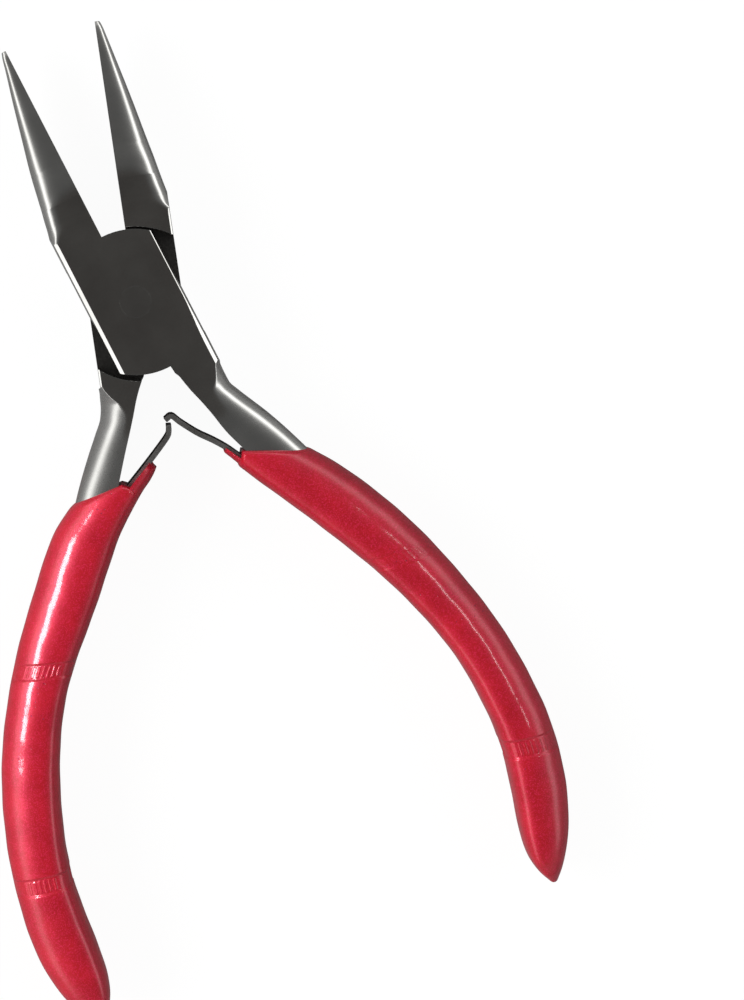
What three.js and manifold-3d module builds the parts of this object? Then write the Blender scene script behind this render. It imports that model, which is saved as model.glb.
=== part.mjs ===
// Slip-through box-joint pliers with slim half-round jaws, a double leaf
// spring and dip-moulded grips. Millimetres, +Z up.
//
// Frame: the tool lies flat. The origin is on the pivot axis at the lower flat
// of the box, +Z runs along the rivet, +Y points to the jaw tips and the tool
// rests open, its levers turned equally to either side of the Y axis.
//
// Each lever is described in its own closed frame: pivot at (0, 0), the inner
// face of the jaw near x = 0, the jaw on the -x side and the handle on the +x
// side, z = 0 at mid thickness. The tongue lever is built in the same frame
// and then mirrored in x.

import * as THREE from 'three';
import { LoftGeometry } from 'three/addons/geometries/LoftGeometry.js';
import { mergeVertices } from 'three/addons/utils/BufferGeometryUtils.js';
import Module from 'manifold-3d';

const wasm = await Module();
wasm.setup();

// ---------------------------------------------------------------- dimensions

const THICKNESS = 8.8;          // flat to flat over the box
const HALF = THICKNESS / 2;
const HALF_OPENING_DEG = 9.45;  // each lever from the closed position at rest

// Box joint
const CHEEK_RADIUS = 9.5;       // rounded ends of the box cheeks and the tongue
const BOX_HALF_LENGTH = 9.6;    // block that the cheek disc is cut from
const RECESS_RADIUS = CHEEK_RADIUS + 0.3;
const TONGUE_THICKNESS = 3.2;
const SLOT_WIDTH = TONGUE_THICKNESS + 2 * 0.2;
// second, offset disc that widens the recess beside the tongue
const WIDE_RECESS = { radius: 10.0, x: -0.45, y: -0.35 };

const RIVET_RADIUS = 2.0;
const RIVET_BORE_RADIUS = RIVET_RADIUS + 0.05;
const RIVET_SEGMENTS = 48;

// Bevels on the long edges of the box: reach of each in y
const BEVEL_HALF_LENGTH = 12;
const JAW_SIDE_BEVEL_Y = [-BEVEL_HALF_LENGTH, 11.3];
const HANDLE_SIDE_BEVEL_Y = [-11.0, BEVEL_HALF_LENGTH];
const BEVEL_MARGIN = 0.5;       // cutter beyond the side of the box
const BEVEL_OVERCUT = 0.001;

// Steel sections
const JAW_FACE_GAP = 0.06;      // half the gap between the closed jaw faces
const JAW_POWER = 3.4;          // roundness of the sections: 2 is an ellipse
const CORE_POWER = 2;
const NECK_OVERLAP = 0.1;       // overlap of the two clips on the handle

// Dipped coating
const COAT = 1.0;               // wall
const FIT_GAP = 0.15;           // coating to steel
const GRIP_HALF_HEIGHT = 4.2;
const CAVITY_HALF_HEIGHT = GRIP_HALF_HEIGHT - COAT;
const CAVITY_LAST = 14;         // last grip station that the cavity reaches
const FIRST_RISE = 0.35;        // extra cavity height at the first station
const MOUTH_RISE = 0.6;         // and at the ring ahead of it
const ROOM_GAP = 1.6 * FIT_GAP; // clearance cut round the steel
const ROOM_FIRST = 7;           // first handle station that needs the clearance

// Leaf springs
const STRIP = 0.7;              // thickness
const STRIP_WIDTH = 5.0;
const TAIL_GAP = 0.1;           // coating to spring tail
const TAIL_ROOM = { thickness: STRIP + 0.3, width: STRIP_WIDTH + 0.4 };
const WEB_GAP = 0.12;           // blade to web
const WEB_HALF_WIDTH = STRIP_WIDTH / 2 + 0.4;

const SPRING_RIVET_RADIUS = 1.2;
const SPRING_RIVET_BORE = SPRING_RIVET_RADIUS + 0.1;
const SPRING_RIVET_END = 4.2;   // from the centre line of the tail
const SPRING_HOLE = [-1, 4.6];  // bore in the core, from the same line
const SPRING_HEAD_RADIUS = 1.9;
const SPRING_HEAD_HEIGHT = 0.4;
const SPRING_HEAD_GAP = 0.05;   // head to strip
const SPRING_POCKET_GAP = 0.15; // head to coating

// Steel core of a handle, by grip station. Its inner side steps back beside
// the spring tail and returns to the coating over STEP_RUN stations.
const CORE_LAST = 13;
const STEP_DEPTH = STRIP + 0.15;
const STEP_END = 7.2;
const STEP_RUN = 1.6;
const CORE_END_INSET = 0.25;    // drawn in all round at the last station
const CORE_END_DROP = 0.3 * CORE_END_INSET;

// Cutting and clipping bodies run out to these distances
const SIDE_REACH = 60;
const HANDLE_REACH = 120;
const CUT_REACH = 10;

// ------------------------------------------------------------ lever tables

// jaw    y, width of the half-round section, half height at its face
// neck   inner edge x y, outer edge x y, half height at the inner edge
// grip   inner edge x y, outer edge x y, half height as a share
// blade  centre line x y of the exposed spring, root to tip
// tail   first points x y of the clamped spring, before it follows the handle
// web    free edge x y of the coating beside the blade root
// Half heights above HALF are cut off at the flats. neckEnd is the y where the
// handle stops being clipped to the width of the box.
const BOX = {
  halfWidth: 6.2,
  edgeBreak: 0.6,
  neckEnd: -12.3,
  neckPower: 3.0,
  jaw: [
    [6.5, 8.6, 9.6], [10.2, 8.0, 8.8], [11.0, 6.9, 7.2], [12.0, 6.38, 6.0],
    [13.2, 6.05, 5.25], [14.8, 5.75, 4.72], [16.2, 5.46, 4.42], [18.2, 5.1, 4.08],
    [20.6, 4.66, 3.66], [25.8, 3.45, 2.82], [31.0, 2.2, 2.0], [35.0, 1.18, 1.3],
    [36.4, 0.85, 1.0], [37.1, 0.55, 0.66],
  ],
  neck: [
    [0.02, -5.0, 8.6, -5.0, 9.6], [0.3, -10.4, 8.2, -10.4, 9.2],
    [0.62, -11.2, 6.9, -11.2, 6.9], [0.85, -12.3, 6.2, -12.3, 6.0],
    [1.15, -13.6, 6.14, -13.6, 5.15], [1.5, -14.8, 6.15, -14.8, 4.6],
    [1.9, -16.3, 6.7, -16.3, 4.44], [2.2, -17.6, 7.3, -17.6, 4.37],
    [2.7, -20.1, 8.5, -20.1, 4.12], [3.62, -23.0, 9.85, -23.3, 3.72],
    [4.5, -25.3, 10.75, -25.8, 3.42],
  ],
  grip: [
    [1.8, -24.65, 11.2, -26.95, 1.0], [4.24, -29.59, 13.78, -30.83, 1.0],
    [6.28, -33.66, 15.97, -34.84, 1.0], [8.3, -37.8, 17.83, -39.0, 1.0],
    [10.24, -41.99, 19.42, -43.29, 1.0], [12.02, -46.24, 20.75, -47.67, 1.0],
    [13.6, -50.55, 21.86, -52.14, 1.0], [14.89, -54.93, 22.73, -56.67, 1.0],
    [15.83, -59.36, 23.33, -61.24, 1.0], [16.36, -63.86, 23.62, -65.83, 1.0],
    [16.43, -68.41, 23.56, -70.42, 1.0], [16.08, -72.99, 23.1, -74.97, 1.0],
    [15.19, -77.53, 22.17, -79.44, 0.98], [13.94, -81.99, 20.7, -83.77, 0.95],
    [12.7, -86.37, 18.63, -87.89, 0.89], [12.49, -88.74, 17.23, -89.96, 0.8],
    [12.81, -90.79, 15.86, -91.58, 0.62], [13.36, -92.14, 14.85, -92.56, 0.36],
  ],
  blade: [
    [2.72, -24.0], [1.85, -22.4], [0.7, -20.7], [-0.65, -18.95], [-2.0, -16.7],
    [-2.66, -15.4], [-3.5, -15.47],
  ],
  tail: [[2.93, -24.36], [3.6, -25.8], [4.35, -27.3]],
  web: [[1.62, -23.95], [0.95, -22.85], [0.38, -21.8]],
};

const TONGUE = {
  halfWidth: 6.15,
  edgeBreak: 0.2,
  neckEnd: -10.6,
  neckPower: 2.2,
  jaw: [
    [6.5, 8.6, 9.6], [10.0, 8.2, 9.2], [11.2, 7.3, 7.8], [12.2, 6.6, 6.2],
    [13.3, 6.25, 5.35], [15.2, 5.8, 4.74], [16.6, 5.5, 4.42], [18.6, 5.1, 4.08],
    [20.9, 4.58, 3.66], [26.3, 3.4, 2.78], [31.8, 2.1, 1.93], [35.4, 1.22, 1.28],
    [36.6, 0.9, 0.96], [37.2, 0.6, 0.62],
  ],
  neck: [
    [0.02, -5.0, 8.4, -5.0, 9.6], [0.3, -9.6, 8.2, -9.6, 9.2],
    [0.75, -10.4, 6.5, -10.4, 8.6], [1.15, -11.2, 6.45, -11.2, 6.9],
    [1.5, -12.0, 6.5, -12.0, 5.6], [1.85, -12.9, 6.55, -12.9, 4.82],
    [2.4, -14.5, 6.85, -14.5, 4.46], [3.1, -16.4, 7.75, -16.4, 4.36],
    [4.1, -19.0, 9.05, -19.0, 4.1], [5.2, -22.0, 10.45, -22.0, 3.75],
    [6.1, -24.5, 11.5, -24.5, 3.42],
  ],
  grip: [
    [2.9, -24.95, 11.9, -24.85, 1.0], [6.2, -29.44, 15.01, -28.4, 1.0],
    [8.37, -33.64, 17.3, -32.59, 1.0], [10.41, -37.72, 19.34, -36.92, 1.0],
    [12.59, -41.78, 21.29, -41.22, 1.0], [14.8, -45.94, 23.05, -45.64, 1.0],
    [16.68, -50.22, 24.55, -50.18, 1.0], [17.95, -54.61, 25.75, -54.81, 1.0],
    [18.77, -59.1, 26.61, -59.5, 1.0], [19.32, -63.69, 27.08, -64.2, 1.0],
    [19.55, -68.32, 27.18, -68.93, 1.0], [19.34, -72.96, 26.93, -73.67, 1.0],
    [18.61, -77.56, 26.36, -78.44, 0.98], [17.5, -82.1, 25.3, -83.18, 0.95],
    [16.6, -86.59, 23.5, -87.61, 0.89], [16.5, -89.03, 22.1, -89.78, 0.8],
    [16.93, -91.0, 20.7, -91.42, 0.62], [17.77, -92.15, 19.5, -92.34, 0.36],
  ],
  blade: [
    [4.05, -23.55], [2.4, -22.0], [0.85, -20.5], [-0.55, -19.1], [-1.6, -17.95],
    [-1.85, -17.3], [-1.92, -16.6],
  ],
  tail: [[4.33, -23.83], [5.4, -25.3], [6.4, -27.0]],
  web: [[2.6, -24.1], [1.54, -23.3], [0.72, -22.2]],
};

// ------------------------------------------------------- manifold and mesh

// Manifold of a closed geometry, turned right side out.
const solid = (geometry) => {
  for (const name of Object.keys(geometry.attributes)) {
    if (name !== 'position') geometry.deleteAttribute(name);
  }
  const merged = mergeVertices(geometry, 1e-5);
  const vertProperties = new Float32Array(merged.attributes.position.array);
  const triVerts = new Uint32Array(merged.index.array);
  const make = () => new wasm.Manifold(new wasm.Mesh({ numProp: 3, vertProperties, triVerts }));
  const body = make();
  if (body.volume() >= 0) return body;
  for (let i = 0; i < triVerts.length; i += 3) {
    [triVerts[i + 1], triVerts[i + 2]] = [triVerts[i + 2], triVerts[i + 1]];
  }
  return make();
};

const geometryOf = (body) => {
  // edges far shorter than any feature are folded away
  const mesh = body.asOriginal().simplify(0.004).getMesh();
  const indexed = new THREE.BufferGeometry();
  const position = new Float32Array(mesh.vertProperties);
  indexed.setAttribute('position', new THREE.BufferAttribute(position, 3));
  indexed.setIndex(new THREE.BufferAttribute(new Uint32Array(mesh.triVerts), 1));
  const flat = indexed.toNonIndexed();
  flat.computeVertexNormals();
  return flat;
};

// ------------------------------------------------------------ plane helpers

// Unit vector from one point towards another.
const direction = (from, to) => {
  const [x, y] = [to[0] - from[0], to[1] - from[1]];
  const length = Math.hypot(x, y);
  return [x / length, y / length];
};

const shift = ([x, y], [dx, dy], distance) => [x + dx * distance, y + dy * distance];

// Normals of an open polyline, turned to its left.
const leftNormals = (points) => points.map((_, i) => {
  const before = points[Math.max(0, i - 1)];
  const after = points[Math.min(points.length - 1, i + 1)];
  const [x, y] = direction(before, after);
  return [-y, x];
});

const offset = (points, distance) => {
  const normals = leftNormals(points);
  return points.map((point, i) => shift(point, normals[i], distance));
};

// ----------------------------------------------------------------- sections

// Upright plane through two points: u runs from inner to outer.
const sectionPlane = (inner, outer) => {
  const along = direction(inner, outer);
  return {
    width: Math.hypot(outer[0] - inner[0], outer[1] - inner[1]),
    point: (u, z) => new THREE.Vector3(...shift(inner, along, u), z),
  };
};

// Superellipse coordinate from a sine or cosine.
const squared = (value, power) => Math.sign(value) * Math.abs(value) ** (2 / power);

// Half-round section: flat on the inner side, rounded above, outside and
// below. A higher power gives a flatter top and a tighter outer corner.
const halfRound = (inner, outer, height, power = 2) => {
  const count = 16;
  const { width, point } = sectionPlane(inner, outer);
  const ring = [];
  for (let i = 0; i <= count; i++) {
    const angle = Math.PI / 2 - (Math.PI * i) / count;
    const u = width * squared(Math.max(0, Math.cos(angle)), power);
    ring.push(point(u, height * squared(Math.sin(angle), power)));
  }
  ring.push(point(0, 0));
  return ring;
};

// Oval section with a flatter inner side, for the coated handles.
const softRound = (inner, outer, height) => {
  const count = 24;
  const { width, point } = sectionPlane(inner, outer);
  const crown = 0.36 * width;   // place of the greatest height
  const ring = [];
  for (let i = 0; i < count; i++) {
    const angle = (2 * Math.PI * i) / count;
    const cosine = Math.cos(angle);
    const [reach, power] = cosine < 0 ? [crown, 3.2] : [width - crown, 2.1];
    const u = crown + reach * squared(cosine, power);
    ring.push(point(u, -height * squared(Math.sin(angle), power)));
  }
  return ring;
};

// ------------------------------------------------------------- solid shapes

// Closed loft: the skin of a LoftGeometry with a fan over each end section.
const loft = (rings) => {
  const skin = new LoftGeometry(rings, { closed: true });
  const points = Array.from(skin.attributes.position.array);
  const faces = Array.from(skin.index.array);
  for (const [ring, isLast] of [[rings[0], false], [rings.at(-1), true]]) {
    const centre = new THREE.Vector3();
    for (const p of ring) centre.add(p);
    centre.divideScalar(ring.length);
    const start = points.length / 3;
    for (const p of [centre, ...ring]) points.push(p.x, p.y, p.z);
    for (let i = 0; i < ring.length; i++) {
      const here = start + 1 + i;
      const next = start + 1 + ((i + 1) % ring.length);
      faces.push(start, ...(isLast ? [here, next] : [next, here]));
    }
  }
  const geometry = new THREE.BufferGeometry();
  geometry.setAttribute('position', new THREE.Float32BufferAttribute(points, 3));
  geometry.setIndex(faces);
  return solid(geometry);
};

const extrude = (outline, depth) => {
  const shape = new THREE.Shape(outline.map(([x, y]) => new THREE.Vector2(x, y)));
  return new THREE.ExtrudeGeometry(shape, { depth, bevelEnabled: false });
};

// Prism over an outline in the XY plane, centred on z = 0.
const prism = (outline, halfWidth) => (
  solid(extrude(outline, 2 * halfWidth).translate(0, 0, -halfWidth)));

const disc = (radius, z0, z1, { x = 0, y = 0, segments = 96 } = {}) => {
  const geometry = new THREE.CylinderGeometry(radius, radius, z1 - z0, segments);
  geometry.rotateX(Math.PI / 2);
  geometry.translate(x, y, (z0 + z1) / 2);
  return solid(geometry);
};

const block = ([x0, x1], [y0, y1], [z0, z1]) => {
  const geometry = new THREE.BoxGeometry(x1 - x0, y1 - y0, z1 - z0);
  geometry.translate((x0 + x1) / 2, (y0 + y1) / 2, (z0 + z1) / 2);
  return solid(geometry);
};

// Strip of constant thickness along a centre line.
const strip = (line, thickness, width) => {
  const left = offset(line, thickness / 2);
  const right = offset(line, -thickness / 2);
  return prism([...right, ...left.reverse()], width / 2);
};

// Cylinder along a direction in the XY plane, between two distances from a point.
const plug = ([x, y], [dx, dy], radius, from, to) => {
  const geometry = new THREE.CylinderGeometry(radius, radius, to - from, 28);
  geometry.translate(0, (from + to) / 2, 0);
  geometry.rotateZ(Math.atan2(dy, dx) - Math.PI / 2);
  geometry.translate(x, y, 0);
  return solid(geometry);
};

// ------------------------------------------------------------------- levers

// Edges of a coated handle, both running from the mouth to the closed end.
const handleEdges = (grip) => ({
  inner: grip.map(([x, y]) => [x, y]),
  outer: grip.map(([, , x, y]) => [x, y]),
  share: grip.map((station) => station[4]),
});

// Neck stations followed by those of the core, each with its section power.
const handleStations = ({ neck, neckPower }, { inner, outer, share }) => {
  const innerNormals = leftNormals(inner);
  const outerNormals = leftNormals(outer);
  const core = [];
  for (let i = 1; i <= CORE_LAST; i++) {
    const isLast = i === CORE_LAST;
    const inset = COAT + FIT_GAP + (isLast ? CORE_END_INSET : 0);
    const step = STEP_DEPTH * Math.min(1, Math.max(0, (STEP_END - i) / STEP_RUN));
    core.push([
      ...shift(inner[i], innerNormals[i], inset + step),
      ...shift(outer[i], outerNormals[i], -inset),
      (CAVITY_HALF_HEIGHT - FIT_GAP) * share[i] - (isLast ? CORE_END_DROP : 0),
      CORE_POWER,
    ]);
  }
  return [...neck.map((station) => [...station, neckPower]), ...core];
};

// Cutter for one long edge of the box, by the signs of its x and z.
const bevelCutter = (halfWidth, edge, sideX, sideZ) => {
  const outside = halfWidth + BEVEL_MARGIN;
  const above = HALF + BEVEL_OVERCUT;
  const profile = [
    [halfWidth - edge, above], [outside, above],
    [outside, HALF - edge - BEVEL_MARGIN], [halfWidth + BEVEL_OVERCUT, HALF - edge],
  ].map(([x, z]) => [sideX * x, sideZ * z]);
  const bar = extrude(profile, 2 * BEVEL_HALF_LENGTH);
  bar.rotateX(Math.PI / 2);
  bar.translate(0, BEVEL_HALF_LENGTH, 0);
  const everywhere = [-SIDE_REACH, SIDE_REACH];
  const rangeY = sideX < 0 ? JAW_SIDE_BEVEL_Y : HANDLE_SIDE_BEVEL_Y;
  return solid(bar).intersect(block(everywhere, rangeY, everywhere));
};

// Jaw, full-thickness box and handle in one, before the joint is cut.
const leverBlank = ({ jaw, halfWidth, edgeBreak, neckEnd }, stations) => {
  const across = [-halfWidth, halfWidth];
  const thick = [-HALF, HALF];
  const box = block(across, [-BOX_HALF_LENGTH, BOX_HALF_LENGTH], thick);
  const jawRings = jaw.map(([y, width, height]) => (
    halfRound([-JAW_FACE_GAP, y], [-width, y], height, JAW_POWER)));
  const jawBody = loft(jawRings)
    .intersect(block([-halfWidth, 0], [0, SIDE_REACH], thick));
  const handleRings = stations.map(([x0, y0, x1, y1, height, power]) => (
    halfRound([x0, y0], [x1, y1], height, power)));
  const handleClip = block(across, [neckEnd - NECK_OVERLAP, 0], thick)
    .add(block([-SIDE_REACH, SIDE_REACH], [-HANDLE_REACH, neckEnd], thick));
  let blank = disc(CHEEK_RADIUS, -HALF, HALF)
    .intersect(box)
    .add(jawBody)
    .add(loft(handleRings).intersect(handleClip));
  for (const sideX of [-1, 1]) {
    for (const sideZ of [-1, 1]) {
      blank = blank.subtract(bevelCutter(halfWidth, edgeBreak, sideX, sideZ));
    }
  }
  return blank;
};

// Slot through the middle of the box.
const cutSlot = (blank) => blank.subtract(disc(RECESS_RADIUS, -SLOT_WIDTH / 2, SLOT_WIDTH / 2));

// Recesses above and below that leave the tongue.
const cutTongue = (blank) => {
  const recess = (z0, z1) => disc(RECESS_RADIUS, z0, z1)
    .add(disc(WIDE_RECESS.radius, z0, z1, WIDE_RECESS));
  return blank
    .subtract(recess(TONGUE_THICKNESS / 2, CUT_REACH))
    .subtract(recess(-CUT_REACH, -TONGUE_THICKNESS / 2));
};

const pivotPin = (radius, halfLength) => (
  disc(radius, -halfLength, halfLength, { segments: RIVET_SEGMENTS }));

// ------------------------------------------------- springs and their rivets

const springSet = ({ blade, tail, web }, { inner }) => {
  // the tail lies along the inner face of the handle, under the coating
  const run = offset(inner, COAT + TAIL_GAP + STRIP / 2).slice(1, 5);
  const line = [...tail, ...run];
  // the rivet points from the tail into the handle
  const rivetAxis = leftNormals(run)[2];
  const place = (radius, from, to) => plug(run[2], rivetAxis, radius, from, to);
  const face = -STRIP / 2;
  const headBase = face - SPRING_HEAD_GAP;
  const headTop = headBase - SPRING_HEAD_HEIGHT;
  const pocketTop = face - SPRING_HEAD_HEIGHT - 0.2;
  // the web fills the corner on the -x side of the blade root
  const bladeSide = offset(blade, STRIP / 2 + WEB_GAP).slice(0, 3);
  const webOutline = [bladeSide[0], ...web, bladeSide[2], bladeSide[1]];
  return {
    tail: strip(line, STRIP, STRIP_WIDTH).subtract(place(SPRING_RIVET_BORE, -3, 3)),
    blade: strip(blade, STRIP, STRIP_WIDTH),
    rivet: place(SPRING_RIVET_RADIUS, headTop, SPRING_RIVET_END)
      .add(place(SPRING_HEAD_RADIUS, headTop, headBase)),
    web: prism(webOutline, WEB_HALF_WIDTH),
    hole: place(SPRING_RIVET_BORE, ...SPRING_HOLE),
    pocket: place(SPRING_HEAD_RADIUS + SPRING_POCKET_GAP, pocketTop, 0),
    tailRoom: strip(line, TAIL_ROOM.thickness, TAIL_ROOM.width),
  };
};

// -------------------------------------------------------------------- grips

const gripCavity = ({ inner, outer, share }) => {
  const near = offset(inner, COAT);
  const far = offset(outer, -COAT);
  // the mouth runs on past the first station
  const before = ([a, b]) => [a[0] + (a[0] - b[0]), a[1] + (a[1] - b[1])];
  const rings = [
    halfRound(before(near), before(far), CAVITY_HALF_HEIGHT + MOUTH_RISE),
    halfRound(near[0], far[0], CAVITY_HALF_HEIGHT + FIRST_RISE),
  ];
  for (let i = 1; i <= CAVITY_LAST; i++) {
    rings.push(halfRound(near[i], far[i], CAVITY_HALF_HEIGHT * share[i]));
  }
  return loft(rings);
};

// Clearance round the steel, from the lower neck down.
const steelRoom = (stations) => loft(
  stations.slice(ROOM_FIRST).map(([x0, y0, x1, y1, height, power]) => {
    const inner = [x0, y0];
    const outer = [x1, y1];
    const along = direction(inner, outer);
    return halfRound(
      shift(inner, along, -ROOM_GAP), shift(outer, along, ROOM_GAP), height + ROOM_GAP, power);
  }));

const gripSolid = (edges, stations, spring) => {
  const { inner, outer, share } = edges;
  const rings = inner.map((p, i) => softRound(p, outer[i], GRIP_HALF_HEIGHT * share[i]));
  return loft(rings)
    .subtract(gripCavity(edges))
    .subtract(steelRoom(stations))
    .subtract(spring.tailRoom)
    .subtract(spring.pocket);
};

// ---------------------------------------------------------------- materials

const material = (color, roughness, metalness) => () => (
  new THREE.MeshStandardMaterial({ color, roughness, metalness }));
const steel = material(0x8d8883, 0.34, 1.0);
const springSteel = material(0x4f4c49, 0.42, 1.0);
const vinyl = material(0xc41f3c, 0.22, 0.0);

// ----------------------------------------------------------------- assembly

// One lever with its spring and grip; extras are further [name, body, material].
const leverFrame = (shape, { name, side, turnDeg, cutJoint, mirror = false, extras = [] }) => {
  const edges = handleEdges(shape.grip);
  const stations = handleStations(shape, edges);
  const spring = springSet(shape, edges);
  const lever = cutJoint(leverBlank(shape, stations))
    .subtract(pivotPin(RIVET_BORE_RADIUS, CUT_REACH))
    .subtract(spring.hole);

  const frame = new THREE.Group();
  frame.position.z = HALF;
  frame.rotation.z = THREE.MathUtils.degToRad(turnDeg);
  for (const [meshName, body, makeMaterial] of [
    [`${name}_lever`, lever, steel],
    ...extras,
    [`${side}_spring_tail`, spring.tail, springSteel],
    [`${side}_spring_blade`, spring.blade, springSteel],
    [`${side}_spring_rivet`, spring.rivet, steel],
    [`${side}_grip`, gripSolid(edges, stations, spring), vinyl],
    [`${side}_grip_web`, spring.web, vinyl],
  ]) {
    const placed = mirror ? body.mirror([1, 0, 0]) : body;
    const mesh = new THREE.Mesh(geometryOf(placed), makeMaterial());
    mesh.name = meshName;
    frame.add(mesh);
  }
  return frame;
};

const group = new THREE.Group();
group.add(
  leverFrame(BOX, {
    name: 'box',
    side: 'right',
    turnDeg: HALF_OPENING_DEG,
    cutJoint: cutSlot,
    extras: [['pivot_rivet', pivotPin(RIVET_RADIUS, HALF), steel]],
  }),
  leverFrame(TONGUE, {
    name: 'tongue',
    side: 'left',
    turnDeg: -HALF_OPENING_DEG,
    cutJoint: cutTongue,
    mirror: true,
  }),
);

export default group;
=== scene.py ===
import math

import bpy
import numpy as np
from mathutils import Matrix, Vector


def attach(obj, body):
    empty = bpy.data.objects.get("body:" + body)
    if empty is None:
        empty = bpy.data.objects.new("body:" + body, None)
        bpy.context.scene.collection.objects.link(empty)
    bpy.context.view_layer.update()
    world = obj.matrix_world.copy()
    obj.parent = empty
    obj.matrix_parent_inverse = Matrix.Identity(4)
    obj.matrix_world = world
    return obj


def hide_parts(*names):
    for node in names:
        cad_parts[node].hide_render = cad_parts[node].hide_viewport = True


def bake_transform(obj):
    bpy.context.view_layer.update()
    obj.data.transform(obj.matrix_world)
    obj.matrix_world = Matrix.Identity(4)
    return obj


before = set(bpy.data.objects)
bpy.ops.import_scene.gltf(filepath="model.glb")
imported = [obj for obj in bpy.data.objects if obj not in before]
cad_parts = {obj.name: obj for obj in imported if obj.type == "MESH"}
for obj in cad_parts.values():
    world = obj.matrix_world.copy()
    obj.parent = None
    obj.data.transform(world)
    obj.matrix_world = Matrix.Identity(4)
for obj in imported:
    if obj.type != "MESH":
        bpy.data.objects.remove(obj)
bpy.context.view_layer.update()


# ------------------------------------------------------------------ dimensions
# Millimetres, in each lever's closed frame: pivot at (0, 0), jaw on -x, handle
# on +x, z = 0 at mid thickness. The tongue lever's frame is mirrored in x.

HALF = 4.4
OPEN = math.radians(9.45)
CHEEK = 9.5
SHOULDER = 9.8
SLOT = 1.8
TONGUE = 1.6
RIVET = 2.0
BORE = 2.06
FACE_GAP = 0.06
# how boxy the jaw section is, over the distance from the pivot
JAW_POWER = [[6.0, 5.0], [13.2, 5.0], [14.8, 4.6], [16.2, 4.5], [18.2, 4.0], [20.6, 3.45], [26.0, 3.4], [40.0, 3.4]]

BOX_JAW = [
    [6.5, 8.6, 9.6], [10.2, 8.0, 8.8], [11.0, 6.9, 7.2], [12.0, 6.38, 6.0],
    [13.2, 6.05, 5.25], [14.8, 5.75, 4.72], [16.2, 5.46, 4.42], [18.2, 5.1, 4.08],
    [20.6, 4.66, 3.66], [25.8, 3.45, 2.82], [31.0, 2.2, 2.0], [35.0, 1.18, 1.3],
    [36.4, 0.85, 1.0], [37.1, 0.62, 0.72],
]
TONGUE_JAW = [
    [6.5, 8.6, 9.6], [10.0, 8.2, 9.2], [11.2, 7.3, 7.8], [12.2, 6.6, 6.2],
    [13.3, 6.25, 5.35], [15.2, 5.8, 4.74], [16.6, 5.5, 4.42], [18.6, 5.1, 4.08],
    [20.9, 4.58, 3.66], [26.3, 3.4, 2.78], [31.8, 2.1, 1.93], [35.4, 1.22, 1.28],
    [36.6, 0.9, 0.96], [37.2, 0.66, 0.68],
]
BOX_NECK = [
    [0.02, -5.0, 8.6, -5.0, 9.6], [0.3, -10.4, 8.2, -10.4, 9.2],
    [0.62, -11.2, 6.9, -11.2, 6.9], [0.85, -12.3, 6.2, -12.3, 6.0],
    [1.15, -13.6, 6.14, -13.6, 5.15], [1.5, -14.8, 6.15, -14.8, 4.6],
    [1.9, -16.3, 6.7, -16.3, 4.44], [2.2, -17.6, 7.3, -17.6, 4.37],
    [2.7, -20.1, 8.5, -20.1, 4.12], [3.62, -23.0, 9.85, -23.3, 3.72],
    [4.5, -25.3, 10.75, -25.8, 3.42], [5.4, -27.4, 11.5, -28.0, 3.2],
]
TONGUE_NECK = [
    [0.02, -5.0, 8.4, -5.0, 9.6], [0.3, -9.6, 8.2, -9.6, 9.2],
    [0.75, -10.4, 6.5, -10.4, 8.6], [1.15, -11.2, 6.45, -11.2, 6.9],
    [1.5, -12.0, 6.5, -12.0, 5.6], [1.85, -12.9, 6.55, -12.9, 4.82],
    [2.4, -14.5, 6.85, -14.5, 4.46], [3.1, -16.4, 7.75, -16.4, 4.36],
    [4.1, -19.0, 9.05, -19.0, 4.1], [5.2, -22.0, 10.45, -22.0, 3.75],
    [6.1, -24.5, 11.5, -24.5, 3.42], [7.2, -27.2, 12.5, -27.2, 3.2],
]
BOX_GRIP = [
    [1.8, -24.65, 11.2, -26.95, 1.0], [4.24, -29.59, 13.78, -30.83, 1.0],
    [6.28, -33.66, 15.97, -34.84, 1.0], [8.3, -37.8, 17.83, -39.0, 1.0],
    [10.24, -41.99, 19.42, -43.29, 1.0], [12.02, -46.24, 20.75, -47.67, 1.0],
    [13.6, -50.55, 21.86, -52.14, 1.0], [14.89, -54.93, 22.73, -56.67, 1.0],
    [15.83, -59.36, 23.33, -61.24, 1.0], [16.36, -63.86, 23.62, -65.83, 1.0],
    [16.43, -68.41, 23.56, -70.42, 1.0], [16.08, -72.99, 23.1, -74.97, 1.0],
    [15.19, -77.53, 22.17, -79.44, 0.98], [13.94, -81.99, 20.7, -83.77, 0.95],
    [12.7, -86.37, 18.63, -87.89, 0.89], [12.49, -88.74, 17.23, -89.96, 0.8],
    [12.81, -90.79, 15.86, -91.58, 0.62], [13.36, -92.14, 14.85, -92.56, 0.36],
]
TONGUE_GRIP = [
    [2.9, -24.95, 11.9, -24.85, 1.0], [6.2, -29.44, 15.01, -28.4, 1.0],
    [8.37, -33.64, 17.3, -32.59, 1.0], [10.41, -37.72, 19.34, -36.92, 1.0],
    [12.59, -41.78, 21.29, -41.22, 1.0], [14.8, -45.94, 23.05, -45.64, 1.0],
    [16.68, -50.22, 24.55, -50.18, 1.0], [17.95, -54.61, 25.75, -54.81, 1.0],
    [18.77, -59.1, 26.61, -59.5, 1.0], [19.32, -63.69, 27.08, -64.2, 1.0],
    [19.55, -68.32, 27.18, -68.93, 1.0], [19.34, -72.96, 26.93, -73.67, 1.0],
    [18.61, -77.56, 26.36, -78.44, 0.98], [17.5, -82.1, 25.3, -83.18, 0.95],
    [16.6, -86.59, 23.5, -87.61, 0.89], [16.5, -89.03, 22.1, -89.78, 0.8],
    [16.93, -91.0, 20.7, -91.42, 0.62], [17.77, -92.15, 19.5, -92.34, 0.36],
]
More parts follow.
